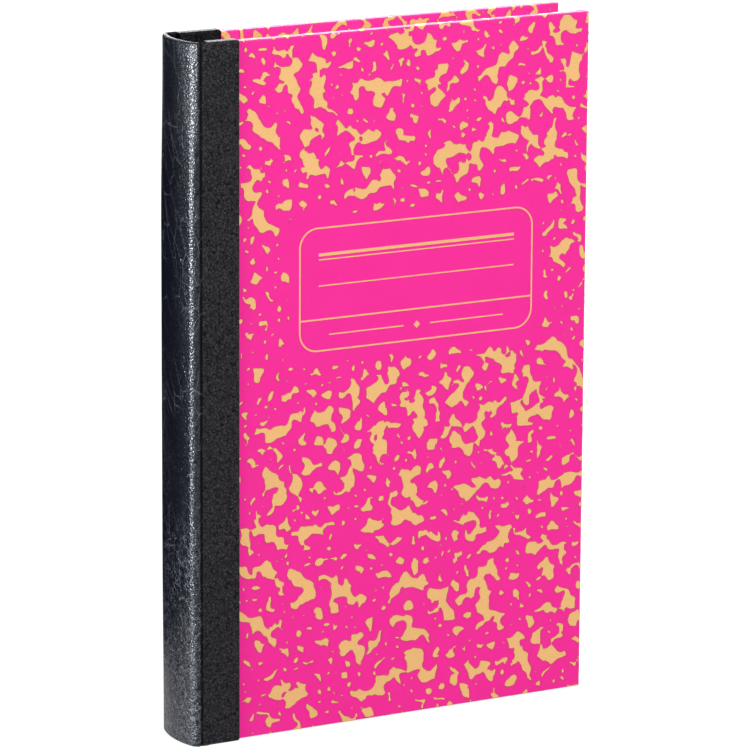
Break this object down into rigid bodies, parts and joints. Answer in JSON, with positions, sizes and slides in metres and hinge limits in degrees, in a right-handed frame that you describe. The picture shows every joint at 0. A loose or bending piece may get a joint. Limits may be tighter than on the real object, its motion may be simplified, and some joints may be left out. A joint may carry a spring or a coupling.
{
  "type": "composition notebook",
  "caption": "Closed hardbound notebook standing upright, black leather spine and strips, pink covers with gold marbling and an outlined label.",
  "frame": {"origin": "middle of the foot of the closed book's box, on the surface it stands on", "axes": "+Z from tail to head, +X from the spine to the fore-edge, +Y from the front cover to the back cover"},
  "size_m": [0.1342, 0.0216, 0.21],
  "materials": {
    "leather": "pebbled, semi-gloss",
    "cover_paper": "smooth, satin",
    "gold_foil": "satin foil",
    "board": "matte",
    "card": "matte",
    "pages": "matte, cut edges",
    "endpaper": "matte",
    "mull": "open weave",
    "lining": "matte",
    "headband": "woven"
  },
  "bodies": {
    "book_block": {"page_block": "pages", "front_flyleaf": "endpaper", "back_flyleaf": "endpaper", "spine_mull": "mull", "spine_lining": "lining", "head_band": "headband", "tail_band": "headband", "spine_stiffener": "card", "spine_leather": "leather"},
    "front_cover": {"front_board": "board", "front_cover_leather": "leather", "front_cover_paper": "cover_paper", "front_pastedown": "endpaper", "front_gold_flecks": "gold_foil", "label_outline": "gold_foil"},
    "back_cover": {"back_board": "board", "back_cover_leather": "leather", "back_cover_paper": "cover_paper", "back_pastedown": "endpaper", "back_gold_flecks": "gold_foil"}
  },
  "joints": [
    {"name": "front_cover_hinge", "type": "hinge", "parent": "book_block", "child": "front_cover", "pos_m": [-0.06295, -0.0108, 0.105], "axis": [0, 0, -1], "range_deg": [0, 175]},
    {"name": "back_cover_hinge", "type": "hinge", "parent": "book_block", "child": "back_cover", "pos_m": [-0.06295, 0.0108, 0.105], "axis": [0, 0, 1], "range_deg": [0, 175]}
  ]
}
